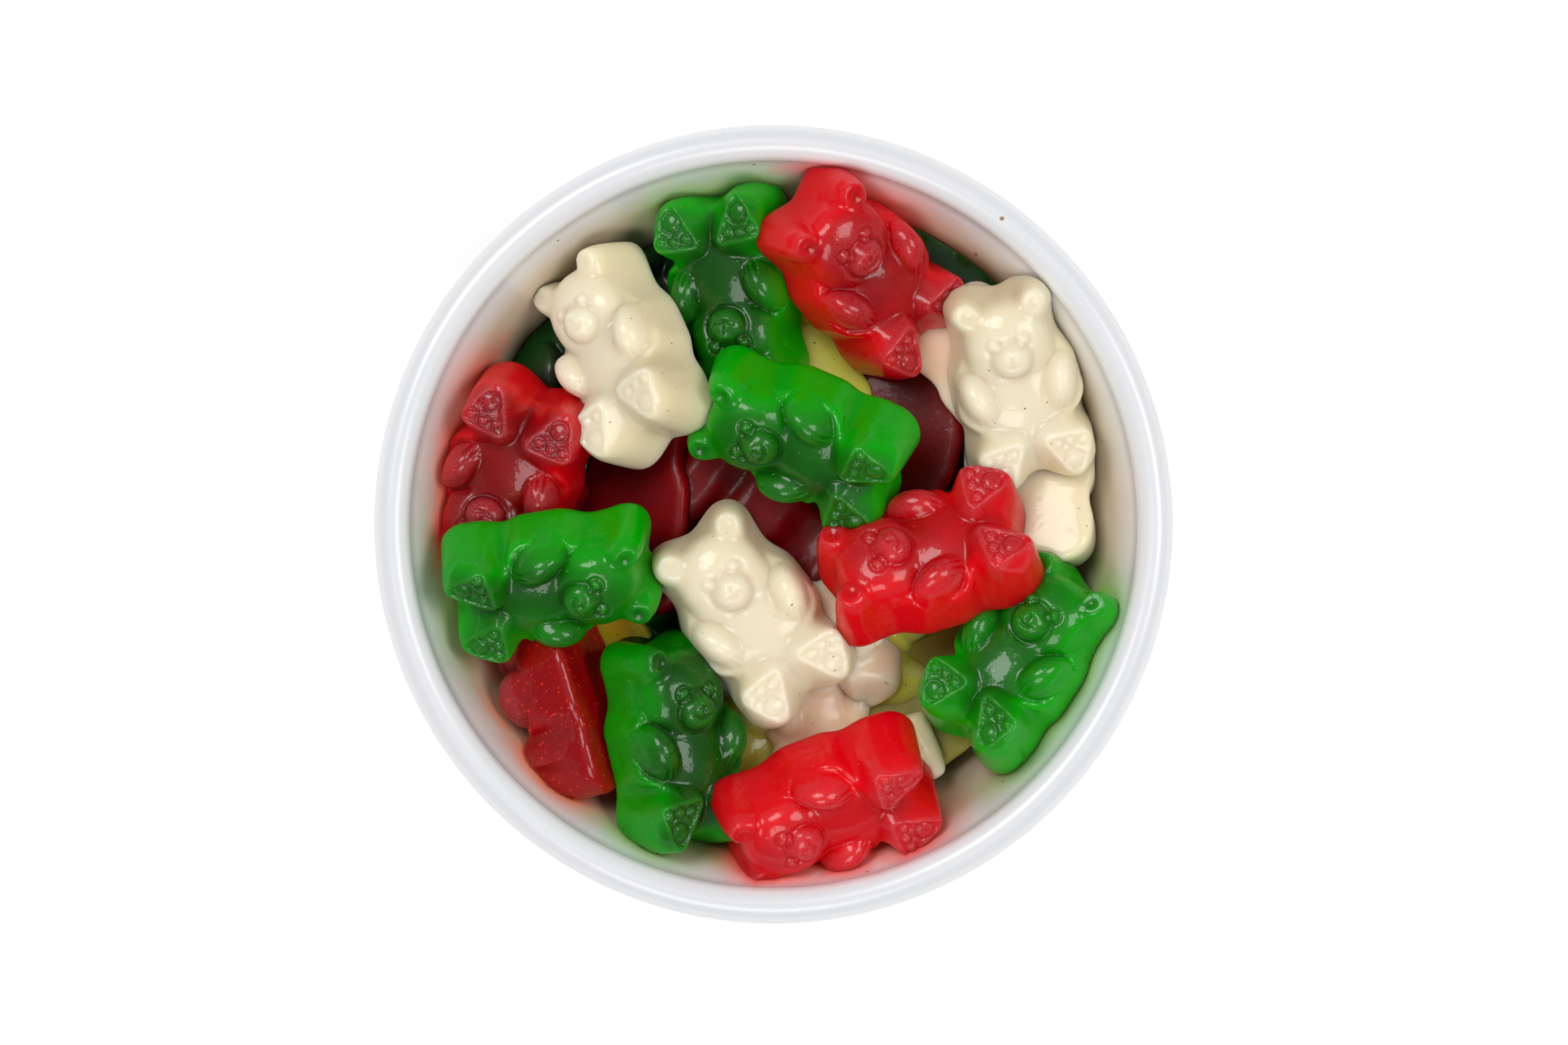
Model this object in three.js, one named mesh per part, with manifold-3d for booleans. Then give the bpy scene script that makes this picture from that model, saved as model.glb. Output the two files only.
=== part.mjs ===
// Gummy bears in a small round white bowl.
// Millimetres, +Z up. The origin is on the table, under the middle of the bowl.
// Two pieces: the glazed bowl, and the heap of bears that fills it.
import * as THREE from "three";
import { mergeVertices } from "three/addons/utils/BufferGeometryUtils.js";
import Module from "manifold-3d";

// ---------------------------------------------------------------- bowl sizes
const RIM_RADIUS = 40;
const BOWL_HEIGHT = 42;
const LIP_HALF_WIDTH = 1.85; // the lip is a rounded bead, seen from above as a band
const LIP_HALF_HEIGHT = 2.1;
const WALL_SLOPE = 0.42; // millimetres that the inside widens for each one of height
const WALL_FULLNESS = 0.5; // how far the outside bulges past the curve of the inside
const FLOOR_TOP = 5;
const FLOOR_FILLET = 11;
const FOOT_RADIUS = 22;
const FOOT_WIDTH = 2.6;
const FOOT_HEIGHT = 1.4;
const BOWL_SIDES = 48;

// ---------------------------------------------------------------- bear sizes
const BEAR_THICKNESS = 10.6; // the flat back is half of this under the middle of a bear
const EDGE_ROUND = 1.3;
const DRAFT = 0.1; // the flat back is wider than the middle by half of this share
const FRONT_SHARE = 0.86; // the front of the outline is smaller than its middle
// Half of the outline, from the crown round the ear, arm and foot to the crotch: along, across.
const HALF_OUTLINE = [
  [9.7, 0],
  [10.7, 3.7],
  [8.9, 5.6],
  [4.3, 5.0],
  [0.8, 6.3],
  [-2.8, 6.2],
  [-4.7, 5.4],
  [-7.6, 6.4],
  [-11.0, 4.9],
  [-9.8, 1.2],
];
// Rounded forms that stand up from the front: centre, half sizes, turn in the plane of the bear.
const FRONT_FORMS = {
  head: { at: [5.2, 0, 0.2], half: [4.9, 4.9, 4.0], turn: 0, sides: 8 },
  muzzle: { at: [3.4, 0, 3.6], half: [2.2, 2.3, 1.5], turn: 0, sides: 8 },
  belly: { at: [-2.4, 0, 0.2], half: [6.2, 5.0, 3.4], turn: 0, sides: 8 },
  left_arm: { at: [-0.5, 4.4, 1.5], half: [3.4, 2.1, 2.7], turn: 20, sides: 6 },
  right_arm: { at: [-0.5, -4.4, 1.5], half: [3.4, 2.1, 2.7], turn: -20, sides: 6 },
};
const SOLE = {
  along: 8.3,
  across: 3.7,
  height: 4.0,
  radius: 2.6,
  depth: 4,
  lean: 10, // degrees that a sole leans back, and that it turns outwards
  splay: 8,
  sides: 6,
};

// ---------------------------------------------------------------- heap sizes
const GAP = 0.3; // between the heap and the bowl
const CORE_LEVEL = 24; // the closed middle of the heap reaches this height
const CORE_RISE = 2.5;
const ROOM_TOP = 60;

// Each bear is [x, y, z, heading, roll, pitch, size]. Heading is the way its head points,
// counter-clockwise from +X. Roll turns its front towards its own right, pitch lifts its head.
// The layer below, of which a little shows in the gaps:
const LOWER_BEARS = [
  [-12.5, 2.0, 27.5, 84, 150, 0, 0.92],
  [-2.4, -0.6, 27.0, -34, 80, 0, 0.92],
  [13.5, 8.5, 26.5, 74, 165, 0, 0.92],
  [22.8, 14.7, 29.2, -50, 178, 0, 0.84],
  [17.4, 25.4, 29.6, 146, 176, 0, 0.78],
  [26.4, 5.6, 30.2, 92, 172, -12, 0.9],
  [1.2, 18.4, 27.0, -62, 170, 0, 0.84],
  [2.5, 26.4, 28.5, 172, 40, 0, 0.84],
  [-20.4, 14.6, 27.5, 66, 30, 0, 0.9],
  [-8.4, -9.4, 27.4, 60, 20, 0, 0.9],
  [2.2, -13.2, 30.6, 190, -40, -8, 0.92],
  [4.0, -18.8, 29.6, 20, 10, 0, 0.9],
  [13.0, -9.0, 25.2, 80, 90, 0, 0.88],
  [8.2, -27.2, 29.5, 28, 95, 0, 0.88],
  [15.0, -18.9, 25.6, 35, 172, 0, 0.92],
  [-2.4, -22.4, 27.0, 80, 10, 0, 0.9],
];
// The top layer, lowest first:
const TOP_BEARS = [
  [-22.4, -16.2, 31.2, 110, -112, 0, 1.02],
  [-27.0, 4.2, 34.8, 248, 8, -17, 0.93],
  [-4.5, 23.4, 35.2, 281, 19, -8, 0.91],
  [24.5, 14.1, 38.2, 104, -1, 12, 0.93],
  [24.5, -12.9, 38.0, 51, -20, -2, 0.94],
  [-16.3, 17.4, 37.4, 114, -35, -20, 0.93],
  [8.0, 25.4, 37.8, 134, 19, 27, 0.96],
  [-22.1, -6.4, 39.6, 9, 34, 8, 0.93],
  [-8.9, -21.9, 36.8, 98, 34, 4, 0.94],
  [5.5, -29.0, 39.0, 201, -38, -1, 0.94],
  [-2.3, -9.1, 37.5, 127, 0, 3, 0.96],
  [15.2, -2.7, 40.2, 197, 29, 1, 0.94],
  [2.3, 8.0, 39.8, 157, -36, -2, 0.93],
];

// ---------------------------------------------------------------- solids
const wasm = await Module();
wasm.setup();

// A closed three.js geometry as a manifold-3d solid, with corners closer than a micron welded.
function solidOf(geometry) {
  const bare = geometry.clone();
  bare.deleteAttribute("normal");
  bare.deleteAttribute("uv");
  const merged = mergeVertices(bare, 1e-3);
  return new wasm.Manifold(
    new wasm.Mesh({
      numProp: 3,
      vertProperties: merged.attributes.position.array,
      triVerts: new Uint32Array(merged.index.array),
    }),
  );
}

// A manifold-3d solid as a three.js geometry.
function geometryOf(solid) {
  const mesh = solid.getMesh();
  const geometry = new THREE.BufferGeometry();
  geometry.setAttribute("position", new THREE.BufferAttribute(mesh.vertProperties, 3));
  geometry.setIndex(new THREE.BufferAttribute(mesh.triVerts, 1));
  geometry.computeVertexNormals();
  return geometry;
}

// The one outer body of a solid: sealed hollows are filled and loose scraps dropped.
function mainBody(solid) {
  const bodies = solid.decompose();
  return bodies.reduce((best, body) => (body.volume() > best.volume() ? body : best));
}

function turned(profile, sides) {
  const points = profile.map(([r, z]) => new THREE.Vector2(r, z));
  return new THREE.LatheGeometry(points, sides).rotateX(Math.PI / 2);
}

// Points along part of an ellipse, angles in degrees.
function arc(r, z, halfR, halfZ, from, to, steps) {
  return Array.from({ length: steps + 1 }, (_, i) => {
    const angle = THREE.MathUtils.degToRad(from + ((to - from) * i) / steps);
    return [r + halfR * Math.cos(angle), z + halfZ * Math.sin(angle)];
  });
}

// ---------------------------------------------------------------- bowl
const LIP_R = RIM_RADIUS - LIP_HALF_WIDTH;
const LIP_Z = BOWL_HEIGHT - LIP_HALF_HEIGHT;
const WALL_ANGLE = Math.atan(WALL_SLOPE);
const MOUTH_RADIUS = LIP_R - LIP_HALF_WIDTH;

// Radius of the inside wall at a height, above the fillet.
function wallRadius(z) {
  return MOUTH_RADIUS - WALL_SLOPE * (LIP_Z - z);
}

const FILLET_Z = FLOOR_TOP + FLOOR_FILLET;
const FILLET_R = wallRadius(FILLET_Z) - FLOOR_FILLET / Math.cos(WALL_ANGLE);

// The inside from the lip down to the middle of the floor, moved inwards by a clearance.
function insideProfile(clearance) {
  const lean = THREE.MathUtils.radToDeg(WALL_ANGLE);
  const fillet = FLOOR_FILLET - clearance;
  return [
    [MOUTH_RADIUS - clearance, LIP_Z],
    ...arc(FILLET_R, FILLET_Z, fillet, fillet, -lean, -90, 5),
    [0, FLOOR_TOP + clearance],
  ];
}

function bowlGeometry() {
  const outer = new THREE.QuadraticBezierCurve(
    new THREE.Vector2(FOOT_RADIUS + 0.4, FOOT_HEIGHT + 1),
    new THREE.Vector2(FILLET_R + FLOOR_FILLET + WALL_FULLNESS, FOOT_HEIGHT + 4),
    new THREE.Vector2(RIM_RADIUS - 0.9, LIP_Z - 4),
  );
  const profile = [
    [0, FOOT_HEIGHT],
    [FOOT_RADIUS - FOOT_WIDTH - 0.5, FOOT_HEIGHT],
    [FOOT_RADIUS - FOOT_WIDTH, 0],
    [FOOT_RADIUS, 0],
    ...outer.getPoints(6).map((p) => [p.x, p.y]),
    ...arc(LIP_R, LIP_Z, LIP_HALF_WIDTH, LIP_HALF_HEIGHT, -20, 160, 6),
    ...insideProfile(0),
  ];
  return turned(profile, BOWL_SIDES);
}

// ---------------------------------------------------------------- one bear
// Widens a slab of one depth towards its flat back, and slopes its front edge off.
function drafted(slab, depth) {
  const position = slab.attributes.position;
  for (let i = 0; i < position.count; i++) {
    const height = position.getZ(i);
    const share = height > depth * 0.9 ? FRONT_SHARE : 1 + DRAFT * (0.5 - height / depth);
    const lifted = height > depth * 0.4 && height < depth * 0.9 ? EDGE_ROUND : 0;
    position.setXYZ(i, position.getX(i) * share, position.getY(i) * share, height + lifted);
  }
  return slab;
}

// The moulded outline as a thick slab, back down.
function slabGeometry(depth) {
  const left = HALF_OUTLINE.map(([along, across]) => new THREE.Vector2(along, across));
  const right = left.slice(1).map((p) => new THREE.Vector2(p.x, -p.y));
  const shape = new THREE.Shape([...left, ...right.reverse()]);
  const slab = new THREE.ExtrudeGeometry(shape, { depth, steps: 2, bevelEnabled: false });
  return drafted(slab, depth).translate(0, 0, -BEAR_THICKNESS / 2);
}

function formGeometry({ at, half, turn, sides }) {
  return new THREE.SphereGeometry(1, sides, sides / 2)
    .scale(...half)
    .rotateZ(THREE.MathUtils.degToRad(turn))
    .translate(...at);
}

// A foot: a short round block whose sole faces forward and a little outward.
function footGeometry(side) {
  return new THREE.CylinderGeometry(SOLE.radius, SOLE.radius + 0.3, SOLE.depth, SOLE.sides)
    .rotateX(Math.PI / 2)
    .rotateY(THREE.MathUtils.degToRad(-SOLE.lean))
    .rotateX(THREE.MathUtils.degToRad(-side * SOLE.splay))
    .translate(-SOLE.along, side * SOLE.across, SOLE.height - SOLE.depth / 2);
}

// A bear of the top layer: slab, head, muzzle, belly, arms and feet.
function fullBear() {
  const forms = Object.values(FRONT_FORMS).map(formGeometry);
  const pieces = [...forms, footGeometry(1), footGeometry(-1)];
  const slab = solidOf(slabGeometry(BEAR_THICKNESS * 0.66));
  return pieces.reduce((bear, piece) => bear.add(solidOf(piece)), slab);
}

// A bear of the layer below, of which little shows: just the slab.
function plainBear() {
  return solidOf(slabGeometry(BEAR_THICKNESS * 0.85));
}

// ---------------------------------------------------------------- the heap
// The matrix that sizes a bear, turns it and sets it in its place.
function placeOf([x, y, z, heading, roll, pitch, size]) {
  const [h, r, p] = [heading, roll, -pitch].map(THREE.MathUtils.degToRad);
  const place = new THREE.Matrix4().makeTranslation(x, y, z);
  place.multiply(new THREE.Matrix4().makeRotationZ(h));
  place.multiply(new THREE.Matrix4().makeRotationY(p));
  place.multiply(new THREE.Matrix4().makeRotationX(r));
  return place.scale(new THREE.Vector3(size, size, size));
}

function coreGeometry() {
  const top = CORE_LEVEL - CORE_RISE;
  const profile = insideProfile(GAP).slice(1).reverse();
  const edge = wallRadius(top) - GAP;
  return turned([...profile, [edge, top], [edge * 0.6, CORE_LEVEL], [0, CORE_LEVEL]], 24);
}

// Everything that the bowl leaves free, with the gap kept.
function roomGeometry() {
  const rim = MOUTH_RADIUS - GAP;
  const mouth = [rim, LIP_Z];
  return turned([...insideProfile(GAP).slice(1).reverse(), mouth, [rim, ROOM_TOP], [0, ROOM_TOP]], 48);
}

function heapGeometry() {
  const copies = (bear, poses) => poses.map((pose) => bear.transform(placeOf(pose).toArray()));
  const bears = [...copies(plainBear(), LOWER_BEARS), ...copies(fullBear(), TOP_BEARS)];
  const heap = bears.reduce((sum, bear) => sum.add(bear), solidOf(coreGeometry()));
  const inside = mainBody(heap.intersect(solidOf(roomGeometry())));
  // Welding closes slits, which can leave a hollow behind: the main body is taken once more.
  return geometryOf(mainBody(solidOf(geometryOf(inside))));
}

// ---------------------------------------------------------------- the object
const glaze = new THREE.MeshStandardMaterial({ color: 0xf3f4f5, roughness: 0.2, metalness: 0 });
const gummy = new THREE.MeshStandardMaterial({ color: 0xb3202a, roughness: 0.35, metalness: 0 });

function named(name, geometry, material) {
  const mesh = new THREE.Mesh(geometry, material);
  mesh.name = name;
  return mesh;
}

const filledBowl = new THREE.Group();
filledBowl.add(named("bowl", bowlGeometry(), glaze));
filledBowl.add(named("gummy_bears", heapGeometry(), gummy));

export default filledBowl;
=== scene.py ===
# %% [markdown]
# # Gummy bears in a round white bowl
#
# A small glazed bowl, heaped with moulded fruit gums. The frame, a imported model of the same
# object with plain faceted solids, is loaded first. Every piece made below is in metres in that
# frame: +Z is up, and the origin is on the table under the middle of the bowl.

# %% Load the frame
import math

import bpy
import numpy as np
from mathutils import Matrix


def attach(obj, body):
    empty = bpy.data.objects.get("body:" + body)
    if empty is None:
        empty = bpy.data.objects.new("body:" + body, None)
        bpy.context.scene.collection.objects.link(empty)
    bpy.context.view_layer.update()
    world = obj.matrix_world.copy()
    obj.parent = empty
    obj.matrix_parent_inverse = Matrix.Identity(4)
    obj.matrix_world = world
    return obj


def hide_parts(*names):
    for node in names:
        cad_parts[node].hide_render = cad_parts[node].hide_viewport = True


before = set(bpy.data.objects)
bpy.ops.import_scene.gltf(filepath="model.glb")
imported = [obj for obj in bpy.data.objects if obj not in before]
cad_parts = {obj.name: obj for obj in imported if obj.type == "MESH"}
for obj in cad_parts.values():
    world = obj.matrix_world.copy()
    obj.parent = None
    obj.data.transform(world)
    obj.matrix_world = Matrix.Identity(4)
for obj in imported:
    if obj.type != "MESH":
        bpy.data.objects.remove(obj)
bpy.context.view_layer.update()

# %% [markdown]
# ## Sizes
#
# All driving sizes are in millimetres here, and MM turns them into metres once, when a mesh is
# written. Working in millimetres keeps the numbers readable, because the whole bowl is only 80
# of them wide. The second group follows from the first.

# %% Sizes in millimetres
MM = 0.001
RIM_RADIUS = 40.0
BOWL_HEIGHT = 42.0
LIP_HALF_WIDTH = 1.85
LIP_HALF_HEIGHT = 2.1
WALL_SLOPE = 0.42
WALL_FULLNESS = 0.5
FLOOR_TOP = 5.0
FLOOR_FILLET = 11.0
FOOT_RADIUS = 22.0
FOOT_WIDTH = 2.6
FOOT_HEIGHT = 1.4

LIP_R = RIM_RADIUS - LIP_HALF_WIDTH
LIP_Z = BOWL_HEIGHT - LIP_HALF_HEIGHT
MOUTH_RADIUS = LIP_R - LIP_HALF_WIDTH
WALL_ANGLE = math.atan(WALL_SLOPE)
FILLET_Z = FLOOR_TOP + FLOOR_FILLET
FILLET_R = MOUTH_RADIUS - WALL_SLOPE * (LIP_Z - FILLET_Z) - FLOOR_FILLET / math.cos(WALL_ANGLE)
print("mouth", round(2 * MOUTH_RADIUS, 1), "mm across, flat floor", round(2 * FILLET_R, 1), "mm")

# %% [markdown]
# ## The camera
#
# The camera looks straight down from 60 cm over the rim, a little off the middle of the bowl. Its
# lens follows from the width that it has to see at the height of the rim. The Standard view keeps
# white paper white and saturated gum saturated, where a film-like one would soften both.

# %% Camera
CAMERA_AT = (1.06, 0.17, 642.0)
FRAME_WIDTH = 156.5
camera = bpy.data.objects.new("camera", bpy.data.cameras.new("camera"))
camera.location = [c * MM for c in CAMERA_AT]
camera.data.lens = camera.data.sensor_width * (CAMERA_AT[2] - BOWL_HEIGHT) / FRAME_WIDTH
camera.data.clip_start = 0.01
bpy.context.scene.collection.objects.link(camera)
bpy.context.scene.camera = camera
bpy.context.scene.view_settings.view_transform = "Standard"
print("camera lens", round(camera.data.lens, 1))

# %% [markdown]
# ## The light
#
# Three soft boxes stand round the camera in a dim room. Coloured gum looks deep only if little
# white is mirrored in its skin: the boxes draw small bright lines on the slopes, and the dim room
# leaves the rest dark. One large lamp or a bright room would lay a pale haze over every bear.


# %% Soft boxes and room
def soft_lamp(name, at, size, power):
    """A square soft lamp that points at the middle of the bowl. Places and sizes in mm."""
    lamp = bpy.data.lights.new(name, "AREA")
    lamp.size = size * MM
    lamp.energy = power
    holder = bpy.data.objects.new(name, lamp)
    holder.location = [c * MM for c in at]
    aim = -holder.location.copy()
    holder.rotation_euler = aim.to_track_quat("-Z", "Y").to_euler()
    bpy.context.scene.collection.objects.link(holder)
    print(name, power, "W")


soft_lamp("left_box", (-330, 330, 850), 420, 4.9)
soft_lamp("right_box", (520, 60, 800), 400, 3.5)
soft_lamp("near_box", (-60, -520, 800), 400, 3.0)

ROOM_LIGHT = 0.2
world = bpy.data.worlds.new("studio")
world.use_nodes = True
background = world.node_tree.nodes["Background"]
background.inputs["Color"].default_value = (1, 1, 1, 1)
background.inputs["Strength"].default_value = ROOM_LIGHT
bpy.context.scene.world = world

# %% [markdown]
# ## The floor
#
# The bowl stands on a wide sheet of white paper. Dull white paper comes out a little grey in a dim
# room, so it gets a trace of light of its own. It lies a hair under the foot, so that two faces
# never share a plane.

# %% Paper floor
PAPER_GLOW = 0.1
PAPER_Z = -0.2
bpy.ops.mesh.primitive_plane_add(size=6)
floor = bpy.context.object
floor.name = "floor"
floor.location.z = PAPER_Z * MM
paper = bpy.data.materials.new("paper")
paper.use_nodes = True
sheet = paper.node_tree.nodes["Principled BSDF"]
sheet.inputs["Base Color"].default_value = (0.98, 0.98, 0.98, 1)
sheet.inputs["Roughness"].default_value = 0.9
sheet.inputs["Emission Color"].default_value = (1, 1, 1, 1)
sheet.inputs["Emission Strength"].default_value = PAPER_GLOW
floor.data.materials.append(paper)
print("floor at", PAPER_Z, "mm")

# %% [markdown]
# ## Helpers for meshes and nodes
#
# Each piece is written from two lists, its corners and its faces, and then told what it rides on,
# which plain solid it stands for and which material slot it fills.


# %% Mesh helper
def make_piece(name, corners, faces, material, node, smooth=True):
    """A mesh from corners in millimetres, riding on the root and standing for a node."""
    mesh = bpy.data.meshes.new(name)
    mesh.from_pydata((corners * MM).tolist(), [], faces)
    if smooth:
        mesh.shade_smooth()
    mesh.materials.append(material)
    piece = bpy.data.objects.new(name, mesh)
    bpy.context.scene.collection.objects.link(piece)
    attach(piece, "root")
    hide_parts(node)
    return piece


# %% [markdown]
# A material is a tree of nodes. These helpers make one node each and hand back the socket that
# the next one needs, so that a material further down reads like a short recipe. All noise is laid
# in the piece's own space in metres, so its grain has a real size and needs no unwrapping.


# %% Node helpers
def add(tree, kind, **inputs):
    """A shader node of a kind, with some of its inputs set."""
    node = tree.nodes.new(kind)
    for name, value in inputs.items():
        node.inputs[name].default_value = value
    return node


def noise(tree, scale, detail=3):
    """Noise in the piece's own space."""
    place = tree.nodes.new("ShaderNodeTexCoord")
    texture = add(tree, "ShaderNodeTexNoise", Scale=scale, Detail=detail)
    tree.links.new(place.outputs["Object"], texture.inputs["Vector"])
    return texture.outputs["Fac"]


def bumped(tree, scale, detail, strength, depth):
    """A surface shaken by noise. The depth is in metres."""
    bump = add(tree, "ShaderNodeBump", Strength=strength, Distance=depth)
    tree.links.new(noise(tree, scale, detail), bump.inputs["Height"])
    return bump.outputs["Normal"]


def ramp(tree, value, low, high, dark, bright):
    """A value between two levels turned into a value between two others."""
    node = tree.nodes.new("ShaderNodeMapRange")
    node.inputs["From Min"].default_value = low
    node.inputs["From Max"].default_value = high
    node.inputs["To Min"].default_value = dark
    node.inputs["To Max"].default_value = bright
    tree.links.new(value, node.inputs["Value"])
    return node.outputs["Result"]


def mix(tree, share, first, second):
    """A colour between two others. Each is a colour of four numbers or a socket."""
    node = tree.nodes.new("ShaderNodeMix")
    node.data_type = "RGBA"
    tree.links.new(share, node.inputs["Factor"])
    for socket, colour in ((node.inputs[6], first), (node.inputs[7], second)):
        if isinstance(colour, bpy.types.NodeSocket):
            tree.links.new(colour, socket)
        else:
            socket.default_value = colour
    return node.outputs[2]


def screen_colour(red, green, blue):
    """A colour as it looks on a screen, 0 to 255, as the linear one that a shader reads."""
    shares = np.array([red, green, blue]) / 255
    linear = np.where(shares <= 0.04045, shares / 12.92, ((shares + 0.055) / 1.055) ** 2.4)
    return (*linear.tolist(), 1.0)


# %% [markdown]
# ## The bowl
#
# The bowl is turned on a wheel, so its mesh is a profile swept round the Z axis. A Screw modifier
# could do that too, but here each corner has to be known, as it gets a colour of its own later.
# The frame's own bowl has 48 sides; from above its rim would show flats, so a finer one with the
# same profile stands for it. The lip is a rounded bead, the wall falls straight inside and in one
# gentle curve outside, and the bowl stands on a foot ring.


# %% The bowl's profile
def arc(r, z, half_r, half_z, start, stop, steps):
    """Points on a part of an oval, from one angle to another in degrees."""
    angles = np.radians(np.linspace(start, stop, steps + 1))
    return [(r + half_r * math.cos(a), z + half_z * math.sin(a)) for a in angles]


def outer_curve(steps):
    """The outside from above the foot to under the lip, as one quadratic curve."""
    a = np.array([FOOT_RADIUS + 0.4, FOOT_HEIGHT + 1.0])
    b = np.array([FILLET_R + FLOOR_FILLET + WALL_FULLNESS, FOOT_HEIGHT + 4.0])
    c = np.array([RIM_RADIUS - 0.9, LIP_Z - 4.0])
    shares = np.linspace(0, 1, steps + 1)[:, None]
    points = a * (1 - shares) ** 2 + b * 2 * shares * (1 - shares) + c * shares**2
    return [tuple(p) for p in points]


def wall_line(steps):
    """Points down the straight part of the wall, close enough to carry a colour each."""
    bottom = FILLET_Z - FLOOR_FILLET * math.sin(WALL_ANGLE)
    heights = np.linspace(LIP_Z, bottom, steps + 1)[1:-1]
    return [(MOUTH_RADIUS - WALL_SLOPE * (LIP_Z - z), float(z)) for z in heights]


def bowl_profile():
    """From the axis under the bowl, out over the foot, up, over the lip and down to the floor."""
    lean = math.degrees(WALL_ANGLE)
    foot_half = FOOT_HEIGHT / 2
    return [
        (0, FOOT_HEIGHT),
        (FOOT_RADIUS - FOOT_WIDTH - 0.8, FOOT_HEIGHT),
        *arc(FOOT_RADIUS - FOOT_WIDTH / 2, foot_half, FOOT_WIDTH / 2, foot_half, 180, 360, 10),
        *outer_curve(24),
        *arc(LIP_R, LIP_Z, LIP_HALF_WIDTH, LIP_HALF_HEIGHT, -35, 180, 22),
        *wall_line(28),
        *arc(FILLET_R, FILLET_Z, FLOOR_FILLET, FLOOR_FILLET, -lean, -90, 14),
        (0, FLOOR_TOP),
    ]


# %% Sweep a profile
def turned(profile, sides):
    """Corners and faces of a profile swept round Z. Its ends lie on the axis."""
    angles = np.linspace(0, 2 * math.pi, sides, endpoint=False)
    rings = profile[1:-1]
    corners = [(r * math.cos(a), r * math.sin(a), z) for r, z in rings for a in angles]
    corners += [(0, 0, profile[0][1]), (0, 0, profile[-1][1])]
    faces = []
    for i in range(len(rings) - 1):
        for j in range(sides):
            k = (j + 1) % sides
            faces.append((i * sides + j, i * sides + k, (i + 1) * sides + k, (i + 1) * sides + j))
    last = (len(rings) - 1) * sides
    for j in range(sides):
        k = (j + 1) % sides
        faces.append((len(corners) - 2, k, j))
        faces.append((len(corners) - 1, last + j, last + k))
    return np.array(corners), faces


# %% [markdown]
# ## The glaze
#
# The glaze is a thick white glass over clay: a smooth bright body with a clear coat. Over the lip
# its colour is painted greyer, most on its crown, as painted shade where the lamps light it most;
# the wall keeps the plain white. Its colour drifts very slightly, and it has a few brown pinholes
# and a faint orange-peel ripple. All that is noise and height, so no image is needed. A colour
# attribute holds the painted light and painted shade that the gums throw on the wall, and is
# filled in once they are in place.


# %% Glaze
def glaze_material():
    """White glaze with painted shade on the lip, the gums' painted light and shade, and pinholes."""
    material = bpy.data.materials.new("white_glaze")
    material.use_nodes = True
    tree = material.node_tree
    shader = tree.nodes["Principled BSDF"]
    shader.inputs["Roughness"].default_value = 0.34
    shader.inputs["Coat Weight"].default_value = 0.25
    shader.inputs["Coat Roughness"].default_value = 0.12
    place = tree.nodes.new("ShaderNodeTexCoord")
    height = tree.nodes.new("ShaderNodeSeparateXYZ")
    tree.links.new(place.outputs["Object"], height.inputs[0])
    # The lip, and its crown more, are painted greyer: painted shade where the lamps light it most.
    lip_painted_shade = ramp(tree, height.outputs["Z"], 36.0 * MM, 40.5 * MM, 0, 1)
    crown_painted_shade = ramp(tree, height.outputs["Z"], 41.3 * MM, 41.9 * MM, 0, 1)
    glaze_with_painted_shade = mix(tree, lip_painted_shade, screen_colour(247, 247, 247), screen_colour(232, 233, 235))
    glaze_with_painted_shade = mix(tree, crown_painted_shade, glaze_with_painted_shade, screen_colour(209, 210, 213))
    cloud = ramp(tree, noise(tree, 60), 0.35, 0.65, 0, 0.2)
    drift = mix(tree, cloud, glaze_with_painted_shade, screen_colour(222, 221, 220))
    # The gums' painted light and painted shade on the wall.
    painted_light_tint = tree.nodes.new("ShaderNodeAttribute")
    painted_light_tint.attribute_name = "painted_light_tint"
    with_painted_light = mix(tree, painted_light_tint.outputs["Alpha"], drift, painted_light_tint.outputs["Color"])
    pinhole = ramp(tree, noise(tree, 900, detail=0), 0.87, 0.885, 0, 1)
    colour = mix(tree, pinhole, with_painted_light, screen_colour(150, 120, 90))
    tree.links.new(colour, shader.inputs["Base Color"])
    tree.links.new(bumped(tree, 130, 2, 0.12, 0.0004), shader.inputs["Normal"])
    return material


# %% Make the bowl
corners, faces = turned(bowl_profile(), 256)
bowl = make_piece("glazed_bowl", corners, faces, glaze_material(), "bowl")
print("bowl faces", len(faces))

# %% [markdown]
# ## One gummy bear
#
# A gummy bear is poured into a mould pressed in starch: a flat back, sides that lean in towards
# the front, and a front with soft relief. It could be sculpted by hand or built from metaballs.
# Here it is a field, a number for every point in space that is negative inside the bear, because
# a field blends its forms softly and can also tell later how far away another bear is. Forms join
# with a rounded minimum, and grooves are taken off the height of the front.


# %% Building blocks of the field
def blend_min(a, b, k):
    """The lower of two fields, with the corner between them rounded over a width k."""
    h = np.clip(0.5 + 0.5 * (b - a) / k, 0, 1)
    return b + (a - b) * h - k * h * (1 - h)


def blend_max(a, b, k):
    """The higher of two fields, rounded in the same way."""
    return -blend_min(-a, -b, k)


def capsule(x, y, start, end, radius):
    """Distance in the plane to a line with round ends."""
    vx, vy = end[0] - start[0], end[1] - start[1]
    t = ((x - start[0]) * vx + (y - start[1]) * vy) / (vx * vx + vy * vy)
    t = np.clip(t, 0, 1)
    return np.hypot(x - start[0] - t * vx, y - start[1] - t * vy) - radius


def dome(x, y, centre, half, base, rise, turn=0.0):
    """Height of a half egg that stands on a base height."""
    c, s = math.cos(turn), math.sin(turn)
    u = ((x - centre[0]) * c + (y - centre[1]) * s) / half[0]
    v = (-(x - centre[0]) * s + (y - centre[1]) * c) / half[1]
    q = 1 - u * u - v * v
    return base + rise * np.sign(q) * np.sqrt(np.abs(q))


def spot(x, y, centre, radius):
    """A soft round bump of height 1."""
    return np.exp(-((x - centre[0]) ** 2 + (y - centre[1]) ** 2) / radius**2)


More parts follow.
